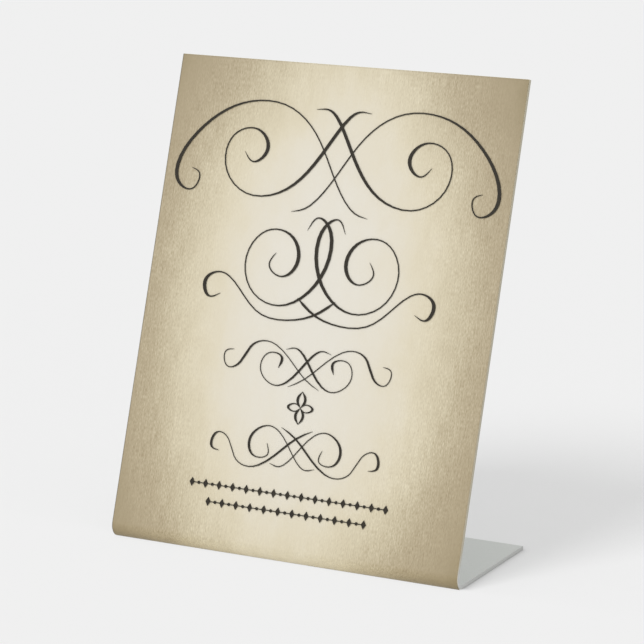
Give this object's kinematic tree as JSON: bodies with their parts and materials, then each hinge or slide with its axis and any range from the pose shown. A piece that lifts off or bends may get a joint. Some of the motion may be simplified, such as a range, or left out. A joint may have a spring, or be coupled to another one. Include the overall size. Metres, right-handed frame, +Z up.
{
  "type": "table sign",
  "caption": "Free-standing table sign: a bent plastic sheet with a leaning gold printed face, a flat foot behind it and black pen ornaments on the face.",
  "frame": {"origin": "middle of the flat underside of the foot, on the table surface", "axes": "+Z up, the printed face looks along -Y and leans back towards +Y, +X to the right seen from the front"},
  "size_m": [0.2032, 0.0827, 0.2495],
  "materials": {
    "sheet": "satin light grey plastic sheet",
    "gold": "printed shaded gold with a fine paper grain, satin",
    "ink": "warm black print, matt"
  },
  "bodies": {
    "root": {"bent_sheet": "sheet", "gold_print": "gold", "ink_crown_flourish": "ink", "ink_main_flourish": "ink", "ink_upper_scroll": "ink", "ink_center_knot": "ink", "ink_lower_scroll": "ink", "ink_long_rule": "ink", "ink_short_rule": "ink"}
  },
  "joints": []
}
